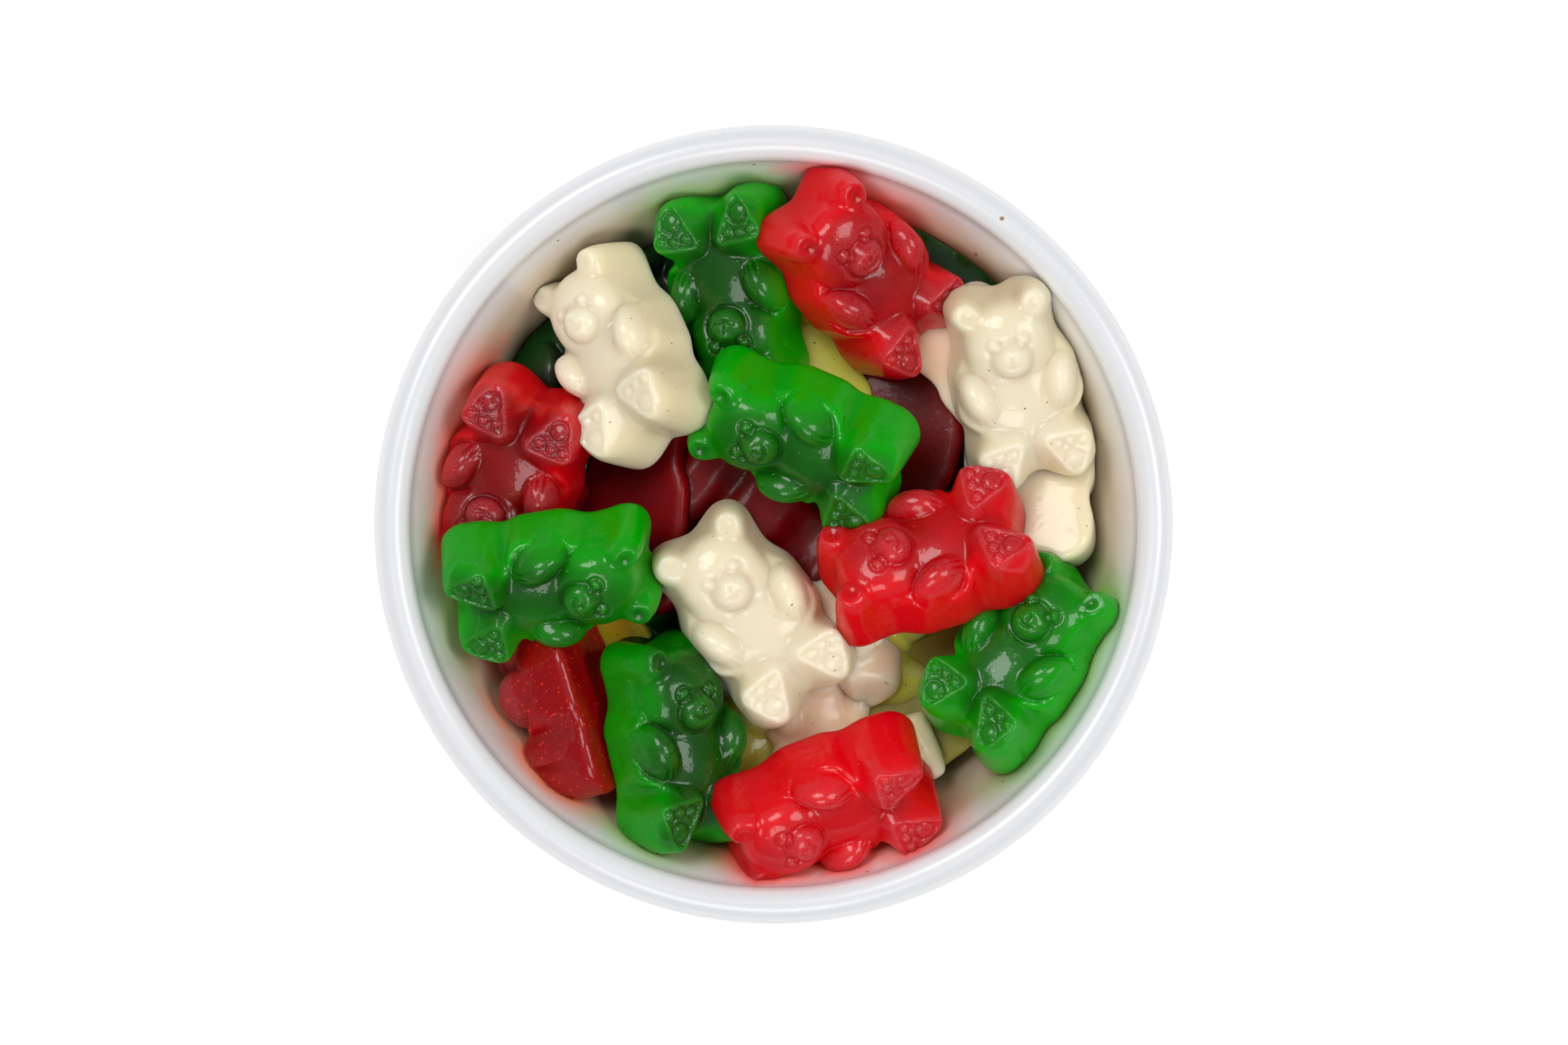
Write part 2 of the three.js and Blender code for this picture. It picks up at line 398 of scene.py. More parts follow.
def ring(x, y, centre, half, width):
    """A soft ring of height 1 on an oval."""
    q = np.hypot((x - centre[0]) / half[0], (y - centre[1]) / half[1])
    return np.exp(-(((q - 1) * min(half) / width) ** 2))


# %% [markdown]
# The bear lies along X with its head at +X, in millimetres, and both halves are alike, so every
# form is drawn once with the distance from the middle line. First the outline: head, body, ears,
# arms and legs.


# %% Outline of the bear
def outline(x, y, k):
    """Distance to the outline, negative inside. Its forms blend over a width k."""
    side = np.abs(y)
    d = capsule(x, y, (5.0, 0), (3.4, 0), 4.7)
    d = blend_min(d, capsule(x, y, (1.0, 0), (-5.0, 0), 4.6), k)
    d = blend_min(d, capsule(x, side, (8.4, 3.4), (9.1, 3.8), 1.7), 0.6 * k + 0.1)
    d = blend_min(d, capsule(x, side, (1.2, 4.2), (-1.8, 4.4), 2.15), 0.5 * k)
    return blend_min(d, capsule(x, side, (-7.3, 3.7), (-8.4, 3.65), 2.7), 0.5 * k)


# %% [markdown]
# Then the front. Belly, head, ears, arms and legs are half eggs. On them are the muzzle with its
# groove, the nose and mouth, the eyes, the hollows of the ears, the fingers, and the flat soles
# with their raised edge and pads. Heights are measured from the middle plane of the bear.

# %% Relief of the front
MUZZLE = (3.4, 0)
EYE = (5.3, 1.65)
EAR_RIM = (9.1, 3.8)


def relief(x, y):
    """Height of the moulded front over the middle plane of the bear."""
    side = np.abs(y)
    h = np.full(x.shape, 0.9)
    h = blend_max(h, dome(x, y, (-2.4, 0), (6.4, 5.0), 0.6, 2.6), 0.9)
    h = blend_max(h, arm(x, side), 0.8)
    h = blend_max(h, dome(x, side, (8.9, 3.75), (2.5, 2.3), 0.6, 2.6), 0.8)
    h = blend_max(h, dome(x, y, (5.2, 0), (5.1, 5.2), 0.6, 3.4), 0.8)
    h = blend_max(h, dome(x, y, MUZZLE, (2.05, 2.15), 3.1, 1.8), 0.35)
    return blend_max(face(h, x, y, side), foot(x, side), 0.4)


def face(h, x, y, side):
    """Muzzle edge, nose, mouth, eyes and the hollows of the ears."""
    h = h - 0.25 * ring(x, y, MUZZLE, (2.25, 2.35), 0.24)
    h = h + 0.40 * np.exp(-(((x - 4.3) / 0.42) ** 2) - (y / 0.7) ** 2)
    h = h - 0.40 * np.exp(-(((x - 3.35) / 0.55) ** 2) - (y / 0.17) ** 2)
    smile = np.exp(-(((x - 2.6 - 0.28 * y * y) / 0.22) ** 2))
    h = h - 0.40 * smile * np.clip(1.4 - side / 1.0, 0, 1)
    h = h + 0.40 * spot(x, side, EYE, 0.5)
    h = h - 0.25 * ring(x, side, EYE, (0.8, 0.8), 0.2)
    h = h - 0.50 * spot(x, side, (8.95, 3.7), 0.75)
    outer_half = np.clip(0.4 + (x - EAR_RIM[0]) / 1.2, 0, 1)
    return h + 0.30 * outer_half * ring(x, side, EAR_RIM, (1.25, 1.25), 0.25)


# %% Arms and fingers
ARM_TURN = 0.35


def arm(x, side):
    """An arm laid across the chest, with grooves between the fingers."""
    h = dome(x, side, (-0.5, 4.5), (3.4, 2.05), 0.6, 3.5, ARM_TURN)
    for finger in (-1, 0, 1):
        fx = x + 2.9 + 0.25 * abs(finger)
        fy = side - 3.6 - 0.64 * finger
        along = fx * math.cos(ARM_TURN) + fy * math.sin(ARM_TURN)
        across = -fx * math.sin(ARM_TURN) + fy * math.cos(ARM_TURN)
        h = h - 0.50 * np.exp(-((along / 0.9) ** 2) - (across / 0.17) ** 2)
    return h


# %% Feet and soles
SOLE_CORNERS = [(-6.4, 1.9), (-6.6, 5.6), (-10.4, 3.9)]
SOLE_ROUND = 0.8
HEEL_PAD = (-8.95, 3.9)
TOES = ((-6.95, 2.45), (-6.8, 3.85), (-7.0, 5.2))


def sole_distance(x, side):
    """Distance to the rounded triangle of a sole, toes on its edge towards the belly."""
    middle = np.mean(SOLE_CORNERS, axis=0)
    inside = np.full(x.shape, -1e9)
    edge = np.full(x.shape, 1e9)
    for start, end in zip(SOLE_CORNERS, SOLE_CORNERS[1:] + SOLE_CORNERS[:1]):
        out = np.array([end[1] - start[1], start[0] - end[0]])
        out = out / np.hypot(*out)
        if out @ (middle - start) > 0:
            out = -out
        inside = np.maximum(inside, (x - start[0]) * out[0] + (side - start[1]) * out[1])
        edge = np.minimum(edge, capsule(x, side, start, end, 0))
    return np.where(inside < 0, inside, edge) - SOLE_ROUND


def foot(x, side):
    """A block with a flat triangular sole, which has a raised edge, a pad and three toes."""
    away = sole_distance(x, side)
    h = 4.1 + 0.16 * (x + 8.3) + 0.10 * (side - 3.8) - 1.3 * np.clip(away, 0, None)
    h = h + 0.20 * np.exp(-(((away + 0.22) / 0.2) ** 2))
    h = h + 0.18 * spot(x, side, HEEL_PAD, 0.65)
    h = h - 0.24 * ring(x, side, HEEL_PAD, (1.05, 1.05), 0.17)
    for toe in TOES:
        h = h + 0.22 * spot(x, side, toe, 0.38) - 0.20 * ring(x, side, toe, (0.62, 0.62), 0.14)
    return h


# %% [markdown]
# ## From field to mesh
#
# The field is sampled on a grid. Its sides are the outline, wider at the back by the draft of the
# mould, and blended so broadly there that the back is one plain block. Its top is the relief,
# divided by its steepness so that the number stays close to a distance.

# %% The field on a grid
BACK = -5.3
DRAFT = 0.95
GRID_LOW = (-14.6, -10.2, -7.8)
GRID_HIGH = (14.2, 10.2, 8.0)


def bear_field(step):
    """The field on a grid of cells of one size, and the grid's lowest corner."""
    low, high = np.array(GRID_LOW), np.array(GRID_HIGH)
    axes = [np.arange(lo, hi + step, step) for lo, hi in zip(low, high)]
    x, y = np.meshgrid(axes[0], axes[1], indexing="ij")
    front = relief(x, y)
    slope_x, slope_y = np.gradient(front, step)
    steepness = np.sqrt(1 + np.minimum(slope_x**2 + slope_y**2, 6))
    layers = []
    for z in axes[2]:
        up = min(max((z - BACK) / (-2 * BACK), 0), 1)
        sides = outline(x, y, 0.8 + 4.0 * (1 - up) ** 1.4) - DRAFT * (1 - up) + 0.15
        layer = blend_max(sides, (z - front) / steepness, 1.1)
        layers.append(blend_max(layer, BACK - z, 1.3))
    return np.stack(layers, axis=2), low


# %% [markdown]
# A net of faces is drawn through the cells where the field changes sign, each corner at the
# average of the crossings on its cell's edges. A voxel Remesh would need a solid to start from,
# and would blunt the toes; this "surface net" gives even quads that follow soft forms well.


# %% Corners of the net
def crossings(field, cells, first, axis):
    """Where the edge from a cell's corner along an axis crosses the surface, and if it does."""
    second = list(first)
    second[axis] = 1
    a = field[tuple((cells + first).T)]
    b = field[tuple((cells + second).T)]
    crossed = (a < 0) != (b < 0)
    share = np.where(crossed, a / np.where(crossed, a - b, 1), 0)
    point = np.array(first, float)[None, :].repeat(len(cells), 0)
    point[:, axis] += share
    return point * crossed[:, None], crossed


def net_corners(field, low, step):
    """One corner for each cell that the surface passes through, and the cells' numbers."""
    inside = field < 0
    nx, ny, nz = field.shape
    count = np.zeros((nx - 1, ny - 1, nz - 1), int)
    eight = [(i, j, k) for i in (0, 1) for j in (0, 1) for k in (0, 1)]
    for i, j, k in eight:
        count += inside[i : nx - 1 + i, j : ny - 1 + j, k : nz - 1 + k]
    active = (count > 0) & (count < 8)
    number = np.full(active.shape, -1)
    number[active] = np.arange(active.sum())
    cells = np.argwhere(active)
    total, hits = np.zeros((len(cells), 3)), np.zeros(len(cells))
    for first in eight:
        for axis in (a for a in range(3) if first[a] == 0):
            point, crossed = crossings(field, cells, first, axis)
            total += point
            hits += crossed
    return low + step * (cells + total / hits[:, None]), number


# %% Faces of the net
def net_faces(field, number):
    """A quad for each grid edge that crosses the surface, turned to face outwards."""
    inside = field < 0
    quads = []
    for axis in range(3):
        u, v = (axis + 1) % 3, (axis + 2) % 3
        here, there = [slice(1, -1)] * 3, [slice(1, -1)] * 3
        here[axis], there[axis] = slice(0, -1), slice(1, None)
        a, b = inside[tuple(here)], inside[tuple(there)]
        for crossing, outward in ((a & ~b, True), (~a & b, False)):
            at = np.argwhere(crossing)
            at[:, [u, v]] += 1
            around = []
            for du, dv in ((0, 0), (1, 0), (1, 1), (0, 1)):
                cell = at.copy()
                cell[:, u] -= du
                cell[:, v] -= dv
                around.append(number[tuple(cell.T)])
            quad = np.stack(around, 1)
            quads.append(quad if outward else quad[:, ::-1])
    return np.concatenate(quads)


# %% [markdown]
# The grid has to be fine for the toes and the mouth, but the flat back needs few faces. A
# Decimate modifier takes corners away where the surface is smooth. Bears in the top layer come
# from the fine grid, and the ones below, which show only in part, from a coarse one.


# %% Thin the mesh and make both bears
def thinned(corners, faces, share):
    """The same surface with a share of its triangles, most of them where it curves."""
    mesh = bpy.data.meshes.new("full")
    mesh.from_pydata(corners.tolist(), [], faces.tolist())
    full = bpy.data.objects.new("full", mesh)
    bpy.context.scene.collection.objects.link(full)
    full.modifiers.new("thin", "DECIMATE").ratio = share
    thin = full.evaluated_get(bpy.context.evaluated_depsgraph_get()).to_mesh()
    thin.calc_loop_triangles()
    points = np.empty(3 * len(thin.vertices), np.float32)
    triangles = np.empty(3 * len(thin.loop_triangles), np.int32)
    thin.vertices.foreach_get("co", points)
    thin.loop_triangles.foreach_get("vertices", triangles)
    bpy.data.objects.remove(full)
    return points.reshape(-1, 3).astype(float), triangles.reshape(-1, 3)


FINE, COARSE = 0.16, 0.40
bear_shapes = {}
for grid_step, share in ((FINE, 0.33), (COARSE, 0.9)):
    field, low_corner = bear_field(grid_step)
    corners, number = net_corners(field, low_corner, grid_step)
    corners, triangles = thinned(corners, net_faces(field, number), share)
    bear_shapes[grid_step] = (corners, triangles, field, low_corner)
    print("bear at", grid_step, "mm:", len(triangles), "triangles")

# %% [markdown]
# ## The heap
#
# The gums are tipped into the bowl and lie as they fell. A rigid body simulation could drop them,
# but its heap is a different one each time a size changes, so each bear is given its place and
# its turn here: x, y and z of its middle in millimetres, the heading of its head, a roll towards
# its own right, a pitch that lifts the head, its size, and how much brighter or darker than its
# kind it is painted: a painted glow above nought and painted shade below it. The lower bears only
# have to fill the gaps that show.

# %% Places of the bears: kind, x, y, z, heading, roll, pitch, size, painted glow
TOP_BEARS = [
    ("grained_red", -22.4, -16.2, 31.2, 110, -112, 0, 1.04, 0.5),
    ("red", -27.2, 4.2, 34.8, 248, 8, -17, 0.95, -0.1),
    ("green", -4.5, 23.4, 35.2, 281, 19, -8, 0.91, 0.0),
    ("cream", 24.5, 14.1, 38.2, 104, -1, 12, 0.93, 0.0),
    ("green", 24.5, -12.9, 38.0, 51, -20, -2, 0.94, 0.3),
    ("cream", -16.3, 17.4, 37.4, 114, -35, -20, 0.93, 0.0),
    ("red", 9.5, 25.3, 37.8, 132, 12, 30, 0.95, 0.2),
    ("green", -22.1, -6.4, 39.6, 9, 34, 8, 0.93, 0.15),
    ("green", -8.9, -21.9, 36.8, 98, 34, 4, 0.94, -0.3),
    ("red", 5.5, -29.0, 39.0, 201, -38, -1, 0.94, 0.6),
    ("cream", -2.3, -9.1, 37.5, 127, 0, 3, 0.96, 0.0),
    ("red", 15.2, -2.7, 40.2, 197, 29, 1, 0.94, 0.45),
    ("green", 2.3, 8.0, 39.8, 157, -36, -2, 0.93, 0.1),
]
LOWER_BEARS = [
    ("deep_red", -12.5, 2.0, 27.5, 84, 150, 0, 0.92, 0.1),
    ("deep_red", -2.4, -0.6, 27.0, -34, 80, 0, 0.92, 0.0),
    ("deep_red", 13.5, 8.5, 26.5, 74, 165, 0, 0.92, 0.0),
    ("blush", 22.8, 14.7, 29.2, -50, 178, 0, 0.84, 0.1),
    ("deep_green", 18.6, 24.6, 29.6, 142, 176, 0, 0.66, -0.3),
    ("cream", 26.4, 5.6, 30.2, 92, 172, -12, 0.90, -0.3),
    ("yellow", 1.2, 18.4, 27.0, -62, 170, 0, 0.84, 0.1),
    ("orange", 2.5, 26.4, 28.5, 172, 40, 0, 0.84, 0.0),
    ("deep_green", -20.4, 14.6, 27.5, 66, 30, 0, 0.90, -0.3),
    ("deep_green", -11.0, 23.0, 26.5, 30, 0, 0, 0.86, 0.0),
    ("deep_green", -8.4, -9.4, 27.4, 60, 20, 0, 0.90, 0.5),
    ("orange", -17.4, -12.2, 25.0, 125, 160, 0, 0.90, 0.3),
    ("blush", 2.2, -13.2, 30.6, 190, -40, -8, 0.92, 0.3),
    ("peach", 4.4, -18.5, 29.4, 95, 10, 0, 0.84, 0.3),
    ("yellow", 13.0, -9.0, 25.2, 80, 90, 0, 0.88, 0.6),
    ("cream", 8.2, -27.2, 29.5, 28, 95, 0, 0.88, 0.0),
    ("olive", 15.0, -18.9, 25.6, 35, 172, 0, 0.92, 0.2),
    ("yellow", -2.4, -22.4, 28.0, 80, 10, 0, 0.90, 1.2),
    ("olive", 19.0, -9.0, 23.0, 80, -30, 0, 0.86, -0.6),
    ("orange", 5.6, -4.4, 24.5, -60, 20, 0, 0.90, 0.0),
    ("deep_red", -25.0, -3.6, 28.0, 80, -20, 0, 0.84, 0.0),
]
print(len(TOP_BEARS), "bears on top,", len(LOWER_BEARS), "below")

# %% [markdown]
# No two cast gums are quite alike: they bend a little in the bag and dry out by different amounts.
# Each is therefore bent, twisted and thinned by a few hundredths before it is turned and placed,
# with random numbers that start from the same seed in every run.

# %% Turn and unevenness
THICKNESS = 0.96


def turn_of(heading, roll, pitch):
    """Roll about the bear's length, then pitch, then heading, as one matrix."""
    h, r, p = math.radians(heading), math.radians(roll), math.radians(-pitch)
    about_z = [[math.cos(h), -math.sin(h), 0], [math.sin(h), math.cos(h), 0], [0, 0, 1]]
    about_y = [[math.cos(p), 0, math.sin(p)], [0, 1, 0], [-math.sin(p), 0, math.cos(p)]]
    about_x = [[1, 0, 0], [0, math.cos(r), -math.sin(r)], [0, math.sin(r), math.cos(r)]]
    return np.array(about_z) @ np.array(about_y) @ np.array(about_x)


def uneven(corners, rng):
    """A slightly bent, twisted, thinner or shorter copy of a bear."""
    bend, sag, twist = rng.normal(0, [0.0022, 0.0020, 0.006])
    x, y, z = corners.T * (1 + rng.normal(0, 0.012, 3))[:, None]
    z = z * THICKNESS + sag * x * x
    y = y + bend * x * x
    angle = twist * x
    twisted_y = y * np.cos(angle) - z * np.sin(angle)
    twisted_z = z * np.cos(angle) + y * np.sin(angle)
    return np.stack([x, twisted_y, twisted_z], 1)


def smoothed(moves, faces, rounds):
    """Moves of the corners, each blended a few times with those of its neighbours."""
    ends = np.concatenate([faces[:, [0, 1]], faces[:, [1, 2]], faces[:, [2, 0]]])
    count = np.bincount(ends[:, 0], minlength=len(moves))[:, None]
    for _ in range(rounds):
        sums = [np.bincount(ends[:, 0], moves[ends[:, 1], i], len(moves)) for i in range(3)]
        moves = 0.5 * moves + 0.5 * np.stack(sums, 1) / count
    return moves


# %% [markdown]
# The colour of a gum follows its shape, so two numbers are kept for each corner. `skirt` is high
# where the gum is thin: low on the sides and close to the outline, and there the colour is painted
# with the glow of light passing through. The second number is high on the front, where the starch
# of the mould leaves a fine bloom and a painted sheen lies over it, and on the ridges of the front,
# where it is a painted highlight.


# %% Skirt and frost
def skirt_of(corners):
    """0 to 1 where the gum is thin."""
    depth = np.clip(-outline(corners[:, 0], corners[:, 1], 1.5), 0, None)
    low = np.clip((1.6 - corners[:, 2]) / 2.0, 0, 1)
    side = low * (0.35 + 0.65 * np.exp(-depth / 3))
    return np.maximum(side, 0.9 * np.exp(-depth / 0.9))


def ridges(x, y, reach=0.35):
    """0 to 1 where the front stands over what is around it: rims, toes, brows and knuckles."""
    around = relief(x + reach, y) + relief(x - reach, y) + relief(x, y + reach) + relief(x, y - reach)
    return np.clip((relief(x, y) - around / 4) / 0.08, 0, 1)


def bloom_and_sheen_of(corners):
    """0 to 1: starch bloom with painted sheen on the front, and painted highlights on its ridges."""
    high = np.clip((corners[:, 2] - 3.0) / 1.4, 0, 1)
    # Ridges of the front get a painted highlight.
    raised = ridges(corners[:, 0], corners[:, 1]) * (corners[:, 2] > 1.5)
    return np.clip(0.5 * high + 0.7 * raised, 0, 1)


# %% [markdown]
# A placed bear keeps the grid that it was made from, so it can tell for any point in the bowl how
# far away its own skin is, and which way is out. The milky kinds are softer gum with a blunter
# relief, so their corners are smoothed first.

# %% One placed bear
MILKY = ("cream", "blush", "peach")
FAR = 9.0


class Bear:
    """One placed bear: its corners, its field, its painted glow and its bloom with painted sheen."""

    def __init__(self, pose, step, rng):
        self.kind, x, y, z, heading, roll, pitch, self.size, painted_glow = pose
        corners, self.faces, self.field, self.low = bear_shapes[step]
        self.step = step
        self.turn = turn_of(heading, roll, pitch)
        self.middle = np.array([x, y, z])
        if self.kind in MILKY:
            corners = smoothed(corners, self.faces, round(2 / step))
        self.points = uneven(corners, rng) @ self.turn.T * self.size + self.middle
        # Skirt plus the bear's own number: painted glow above nought, painted shade below it.
        self.skirt = skirt_of(corners) + painted_glow
        self.bloom_and_sheen = bloom_and_sheen_of(corners)

    def distance(self, points):
        """Distance from points to this bear, and the way out, read off its grid."""
        local = (points - self.middle) @ self.turn / self.size / [1, 1, THICKNESS]
        place = (local - self.low) / self.step
        top = np.array(self.field.shape) - 2
        known = ((place >= 1) & (place <= top - 1)).all(1)
        cell = np.clip(place.astype(int), 1, top - 1)
        part = place - cell
        value, way = np.full(len(points), FAR), np.zeros((len(points), 3))
        value[known], way[known] = self.read(cell[known], part[known])
        return value * self.size, way @ self.turn.T

    def read(self, cell, part):
        """The field and its slope inside grid cells, blended from their eight corners."""
        value, slope = np.zeros(len(cell)), np.zeros((len(cell), 3))
        for corner in np.ndindex(2, 2, 2):
            pick = np.array(corner)
            share = np.where(pick == 1, part, 1 - part)
            sample = self.field[tuple((cell + pick).T)]
            value += share.prod(1) * sample
            for axis in range(3):
                others = np.delete(share, axis, 1).prod(1)
                slope[:, axis] += (2 * pick[axis] - 1) * others * sample
        return value, slope / np.maximum(np.linalg.norm(slope, axis=1), 1e-9)[:, None]


# %% [markdown]
# Soft gums flatten where they touch. A soft body simulation would find that out step by step; with
# the distances at hand it is enough to move each corner that is inside another bear half of the
# way out, smooth those moves so that the skin stays whole, and then pull what is still outside
# the bowl in to its wall.

# %% Press the bears together
TOUCH_REACH = 27
TOUCH_GAP = 0.05
DEEPEST_DENT = 1.4


def press_together(bears):
    """Where two bears would cross, each gives way by half."""
    pushed = []
    for bear in bears:
        moves = np.zeros(bear.points.shape)
        for other in bears:
            if other is bear or np.linalg.norm(other.middle - bear.middle) > TOUCH_REACH:
                continue
            away, out = other.distance(bear.points)
            moves += out * (0.5 * np.clip(TOUCH_GAP - away, 0, DEEPEST_DENT))[:, None]
        pushed.append(bear.points + smoothed(moves, bear.faces, 6))
    for bear, points in zip(bears, pushed):
        bear.points = points


# %% Press them into the bowl
WALL_GAP = 0.3
OPEN_AIR = 60


def wall_radius(z):
    """Radius of the inside of the bowl at each height. Over the rim nothing is in the way."""
    cone = MOUTH_RADIUS - WALL_SLOPE * (LIP_Z - z)
    fillet = FILLET_R + np.sqrt(np.clip(FLOOR_FILLET**2 - (FILLET_Z - z) ** 2, 0, None))
    low = FILLET_Z - FLOOR_FILLET * math.sin(WALL_ANGLE)
    radius = np.where(z < low, fillet, cone)
    up = np.clip((z - LIP_Z) / LIP_HALF_HEIGHT, 0, 1)
    lip = LIP_R - LIP_HALF_WIDTH * np.sqrt(1 - up**2)
    return np.where(z > LIP_Z, np.where(z > BOWL_HEIGHT, OPEN_AIR, lip), radius)


def press_into_bowl(points):
    """Flattens what would pass the wall, as a soft gum does."""
    away = np.hypot(points[:, 0], points[:, 1])
    share = np.minimum(1, (wall_radius(points[:, 2]) - WALL_GAP) / np.maximum(away, 1e-6))
    return points * np.stack([share, share, np.ones(len(points))], 1)


# %% Fill the bowl
rng = np.random.default_rng(11)
top = [Bear(pose, FINE, rng) for pose in TOP_BEARS]
lower = [Bear(pose, COARSE, rng) for pose in LOWER_BEARS]
press_together(top + lower)
for bear in top + lower:
    bear.points = press_into_bowl(bear.points)
print("highest bear", round(max(bear.points[:, 2].max() for bear in top), 2), "mm")

# %% [markdown]
# ## Painted light and shade on the wall
#
# Light that has passed through a coloured gum tints the white wall beside it, and down in the
# bowl the wall turns warm and darker, from shade and from light that has gone to and fro between
# the gums. A renderer finds such light only with very many samples. So each corner of the inside
# gets it painted on as a colour and a share, laid one over the other like films of paint: painted
# coloured light beside the red and green gums, painted shadow beside the dark green ones, and a
# warm painted shade deeper down. The painted light of a bear fades over a millimetre or two.

# %% Films of painted light and shade
# Painted coloured light beside red and green gums; painted shadow beside the dark green ones.
PAINTED_GUM_LIGHT_AND_SHADE = {
    "red": (255, 60, 45),
    "green": (150, 205, 95),
    "grained_red": (255, 120, 70),
    "deep_green": (70, 62, 28),
}
PAINTED_LIGHT_REACH = 1.3
# Painted warm shade, darker further down the inside of the bowl.
WARM_PAINTED_SHADE = (188, 168, 130)
WARM_SHADE_FROM = 39.2
WARM_SHADE_DEPTH = 4.5


def laid_over(painted_tints, colour, share):
    """A film of painted light and shade over the films so far: red, green, blue and share at each
    corner.
    """
    below = painted_tints[:, 3] * (1 - share)
    total = np.maximum(below + share, 1e-6)
    film = np.array(screen_colour(*colour)[:3])
    mixed = (below[:, None] * painted_tints[:, :3] + share[:, None] * film) / total[:, None]
    return np.column_stack([mixed, below + share])


def painted_light_of(points, bears):
    """The painted light and shade for each point, and in a fourth number how strong it is."""
    radius = np.hypot(points[:, 0], points[:, 1])
    inside = (radius < wall_radius(points[:, 2]) + 0.05) & (points[:, 2] > FLOOR_TOP - 0.1)
    on_wall = np.clip(MOUTH_RADIUS + 0.7 - radius, 0, 1) * inside
    depth = np.clip((WARM_SHADE_FROM - points[:, 2]) / WARM_SHADE_DEPTH, 0, 1)
    painted_tints = laid_over(np.zeros((len(points), 4)), WARM_PAINTED_SHADE, 0.8 * inside * depth)
    for bear in (bear for bear in bears if bear.kind in PAINTED_GUM_LIGHT_AND_SHADE):
        away = bear.distance(points)[0]
        share = 0.85 * on_wall * np.exp(-np.clip(away, 0, None) / PAINTED_LIGHT_REACH) * (away < 8)
        painted_tints = laid_over(painted_tints, PAINTED_GUM_LIGHT_AND_SHADE[bear.kind], share)
    return painted_tints


# %% Paint the light and shade on the bowl
bowl_points = np.array([vertex.co[:] for vertex in bowl.data.vertices]) / MM
bowl_painted_tints = painted_light_of(bowl_points, lower + top)
painted_light_tint = bowl.data.attributes.new("painted_light_tint", "FLOAT_COLOR", "POINT")
painted_light_tint.data.foreach_set("color", bowl_painted_tints.astype(np.float32).ravel())
print("tinted corners", int((bowl_painted_tints[:, 3] > 0.01).sum()), "of", len(bowl_points))

# %% [markdown]
# ## Materials of the gums
#
# Coloured gum lets light through. Where it is thin, at the sides and feet, light from behind
# makes it glow; in the thick middle it turns deep. Glass filled with an absorbing volume could do
# that, but it is slow and grainy in a heap of this many. Here subsurface scattering carries light
# through the body, a share of transmission lets some straight through, and the colour is painted
# from deep to glowing with `skirt`, clouded a little by noise: a painted glow of the light that
# passes the thin gum. In the milky kinds the thin edges are painted darker and warmer instead, as
# painted shade from what lies behind them.
#
# Over that lie the bloom of the starch with a painted sheen, and painted highlights on the
# ridges, where the stored number and a fine grain say so, and small flecks. The skin is soft with
# a thin glossy coat, and a broad ripple in the coat breaks up what it mirrors.


# %% Two more node helpers
def stored(tree, name):
    """A number that the corners carry."""
    node = tree.nodes.new("ShaderNodeAttribute")
    node.attribute_name = name
    return node.outputs["Fac"]


def joined(tree, operation, first, second):
    """Two numbers added or multiplied, kept between 0 and 1."""
    node = tree.nodes.new("ShaderNodeMath")
    node.operation = operation
    node.use_clamp = True
    tree.links.new(first, node.inputs[0])
    tree.links.new(second, node.inputs[1])
    return node.outputs[0]


# %% Gum
def gum_colour(tree, deep, painted_glow, bloom_and_sheen_colour, fleck, fleck_level):
    """The colour of a gum, painted from deep to glowing, with bloom, painted sheen and flecks over
    it.
    """
    cloud = ramp(tree, noise(tree, 120), 0.3, 0.7, -0.22, 0.22)
    share = joined(tree, "ADD", stored(tree, "skirt"), cloud)
    colour = mix(tree, share, screen_colour(*deep), screen_colour(*painted_glow))
    grain = ramp(tree, noise(tree, 5200, detail=1), 0.35, 0.65, 0.1, 0.6)
    bloom_and_sheen = joined(tree, "MULTIPLY", stored(tree, "bloom_and_sheen"), grain)
    colour = mix(tree, bloom_and_sheen, colour, screen_colour(*bloom_and_sheen_colour))
    flecks = ramp(tree, noise(tree, 2900, detail=0), fleck_level, fleck_level + 0.02, 0, 1)
    return mix(tree, flecks, colour, screen_colour(*fleck))


def gum_material(name, deep, painted_glow, bloom_and_sheen_colour, fleck, reach, clear=0.3, fleck_level=0.83, coat=0.45):
    """Gum in four colours, deep, painted glow, bloom with painted sheen, and fleck, as on a screen.

    Reach is how far red, green and blue light travel in it, in millimetres.
    """
    material = bpy.data.materials.new(name)
    material.use_nodes = True
    tree = material.node_tree
    shader = tree.nodes["Principled BSDF"]
    shader.inputs["Subsurface Weight"].default_value = 1.0
    shader.inputs["Subsurface Radius"].default_value = reach
    shader.inputs["Subsurface Scale"].default_value = MM
    shader.inputs["IOR"].default_value = 1.42
    shader.inputs["Specular IOR Level"].default_value = 0.08
    shader.inputs["Transmission Weight"].default_value = clear
    shader.inputs["Coat Weight"].default_value = coat
    shader.inputs["Coat Roughness"].default_value = 0.07
    colour = gum_colour(tree, deep, painted_glow, bloom_and_sheen_colour, fleck, fleck_level)
    softness = ramp(tree, noise(tree, 900), 0.3, 0.7, 0.34, 0.46)
    tree.links.new(colour, shader.inputs["Base Color"])
    tree.links.new(softness, shader.inputs["Roughness"])
    tree.links.new(bumped(tree, 700, 3, 0.3, 0.0003), shader.inputs["Coat Normal"])
    tree.links.new(bumped(tree, 1500, 4, 0.25, 0.00012), shader.inputs["Normal"])
    return material


# %% [markdown]
# Eleven kinds of gum lie in the bowl. The bright red and green ones on top scatter one colour far
# and stop the others. The milky ones hold no clear light and show a few brown flecks. The grained
# red one is full of bright grains. Three are not kinds of their own: the dark red, dark green and
# olive ones are the red, green and yellow gum painted darker, as painted shade for bears that lie
# low in the heap, and they mirror little.

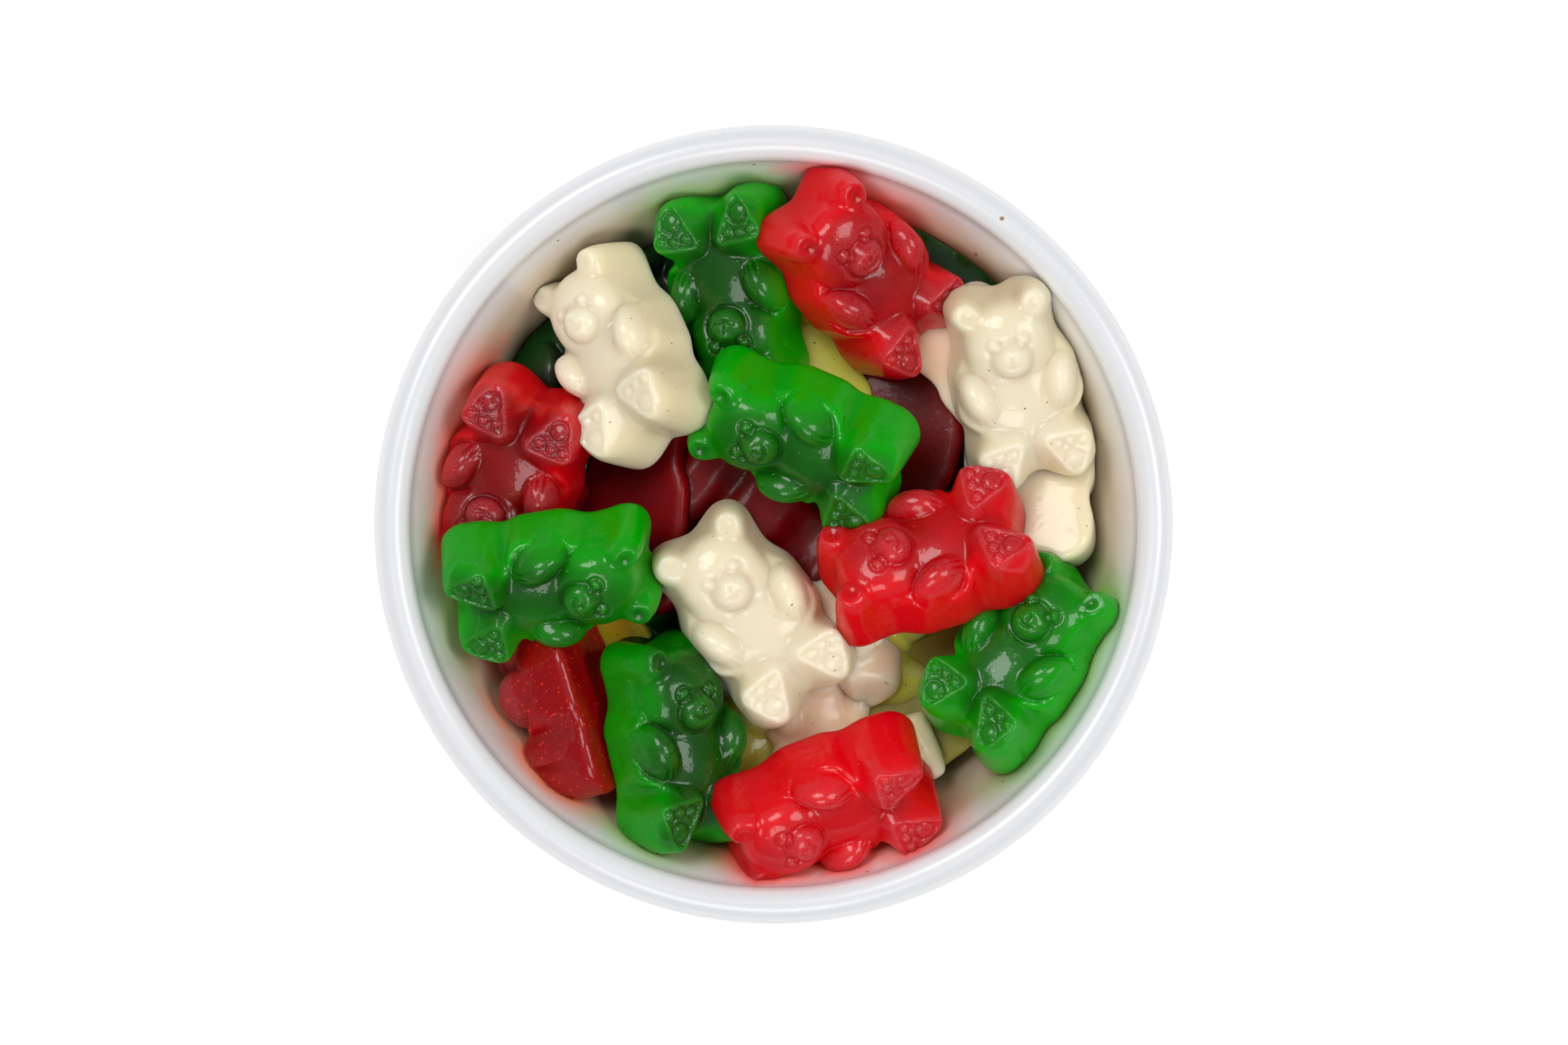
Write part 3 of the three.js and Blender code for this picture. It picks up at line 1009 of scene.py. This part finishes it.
# %% The kinds: deep, painted glow, bloom and sheen, fleck, and the reach of red, green and blue light
BROWN = (130, 95, 55)
GUMS = {
    "red": ((140, 0, 6), (242, 0, 18), (205, 85, 95), (240, 60, 60), (6, 0.8, 0.8)),
    "green": ((10, 84, 0), (2, 176, 0), (50, 138, 40), (60, 190, 60), (1.2, 6, 1.0)),
    "cream": ((222, 212, 187), (218, 205, 168), (230, 222, 200), BROWN, (3.4, 2.9, 2.2)),
    "grained_red": ((95, 0, 4), (160, 0, 10), (170, 90, 98), (240, 50, 15), (4, 0.5, 0.5)),
    # Dark red, dark green and olive are red, green and yellow painted darker: painted shade.
    "deep_red": ((74, 0, 4), (132, 0, 9), (120, 15, 22), (150, 10, 5), (4, 0.5, 0.5)),
    "deep_green": ((20, 42, 22), (14, 80, 14), (50, 75, 45), (30, 90, 20), (1, 4, 1)),
    "blush": ((255, 230, 208), (255, 208, 178), (255, 236, 218), BROWN, (3.0, 2.2, 1.6)),
    "peach": ((255, 228, 204), (255, 200, 168), (255, 236, 218), BROWN, (3.0, 2.2, 1.6)),
    "olive": ((172, 156, 96), (176, 170, 80), (200, 190, 140), BROWN, (3, 2.4, 1)),
    "yellow": ((214, 200, 124), (232, 222, 90), (232, 226, 170), BROWN, (5, 4, 1)),
    "orange": ((215, 140, 15), (245, 185, 30), (235, 180, 100), BROWN, (5, 2, 0.6)),
}
FINISHES = {kind: {"clear": 0, "fleck_level": 0.855} for kind in MILKY}
FINISHES["grained_red"] = {"fleck_level": 0.74}
FINISHES["deep_red"] = {"coat": 0.12}
FINISHES["deep_green"] = {"coat": 0.2}

gum_materials = {}
for kind, colours in GUMS.items():
    gum_materials[kind] = gum_material(kind + "_gum", *colours, **FINISHES.get(kind, {}))
print(len(gum_materials), "gum materials")

# %% [markdown]
# ## One piece for each kind
#
# All bears of a kind share a material, so they become one mesh: fewer, larger pieces are easier to
# handle than 34 small ones. Their skirt and frost values go along as attributes of the corners.


# %% Join the bears of a kind into one piece
def store(piece, name, values):
    """Writes a number for each corner, which the material reads by its name."""
    attribute = piece.data.attributes.new(name, "FLOAT", "POINT")
    attribute.data.foreach_set("value", np.concatenate(values).astype(np.float32))


def make_kind(kind, bears):
    """One piece with all bears of a kind."""
    corners = np.concatenate([bear.points for bear in bears])
    starts = np.cumsum([0] + [len(bear.points) for bear in bears[:-1]])
    faces = np.concatenate([bear.faces + start for bear, start in zip(bears, starts)])
    name = kind + "_bears"
    piece = make_piece(name, corners, faces.tolist(), gum_materials[kind], "gummy_bears")
    store(piece, "skirt", [bear.skirt for bear in bears])
    store(piece, "bloom_and_sheen", [bear.bloom_and_sheen for bear in bears])
    print(kind, len(bears), "bears,", len(faces), "triangles")


for kind in GUMS:
    make_kind(kind, [bear for bear in top + lower if bear.kind == kind])

# %% [markdown]
# ## The core
#
# What lies under the bears that show is never seen. More bears there would cost triangles and
# show nothing, so a plain turned solid fills the bowl up to half its height, in the dark red gum
# that is red painted darker as shade, and no light falls through the heap.

# %% Core
CORE_LEVEL = 21.0
CORE_GAP = 0.3
CORE_EDGE_GAP = 0.5
core_fillet = FLOOR_FILLET - CORE_GAP
core_edge = float(wall_radius(np.array(CORE_LEVEL))) - CORE_EDGE_GAP
lean = math.degrees(WALL_ANGLE)
core_profile = [
    (0, FLOOR_TOP + CORE_GAP),
    *reversed(arc(FILLET_R, FILLET_Z, core_fillet, core_fillet, -lean, -90, 10)),
    (core_edge, CORE_LEVEL),
    (0, CORE_LEVEL),
]
corners, faces = turned(core_profile, 64)
core_gum = gum_materials["deep_red"]
make_piece("heap_core", corners, faces, core_gum, "gummy_bears", smooth=False)
print("core up to", CORE_LEVEL, "mm,", len(faces), "faces")
